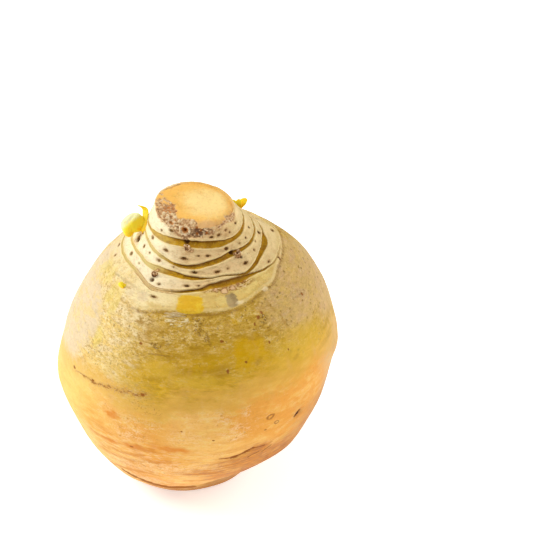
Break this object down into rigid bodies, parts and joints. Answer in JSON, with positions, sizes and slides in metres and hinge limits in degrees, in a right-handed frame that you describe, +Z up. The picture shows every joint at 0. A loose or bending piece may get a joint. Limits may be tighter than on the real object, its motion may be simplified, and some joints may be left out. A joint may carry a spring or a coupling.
{
  "type": "turnip",
  "caption": "Swollen round yellow-fleshed turnip root with a trimmed neck ringed by leaf scars, small buds and a flat resting spot.",
  "frame": {"origin": "centre of the flat spot the root rests on", "axes": "+Z up along the growing axis towards the cut neck, -Y the front, +X to the right seen from the front"},
  "size_m": [0.1199, 0.1173, 0.1351],
  "materials": {
    "root_skin": "matt corky root skin, yellow-green above and orange below, with pale leaf scars and a cut face",
    "sprout_leaf": "smooth blanched young leaf, slightly waxy",
    "dry_bud": "dry brown papery bud"
  },
  "bodies": {
    "root": {"root": "root_skin", "left_sprout_leaf": "sprout_leaf", "left_sprout_tip": "sprout_leaf", "right_sprout": "sprout_leaf", "shoulder_bud": "sprout_leaf", "front_dry_bud": "dry_bud", "right_dry_bud": "dry_bud", "left_dry_bud": "dry_bud"}
  },
  "joints": []
}
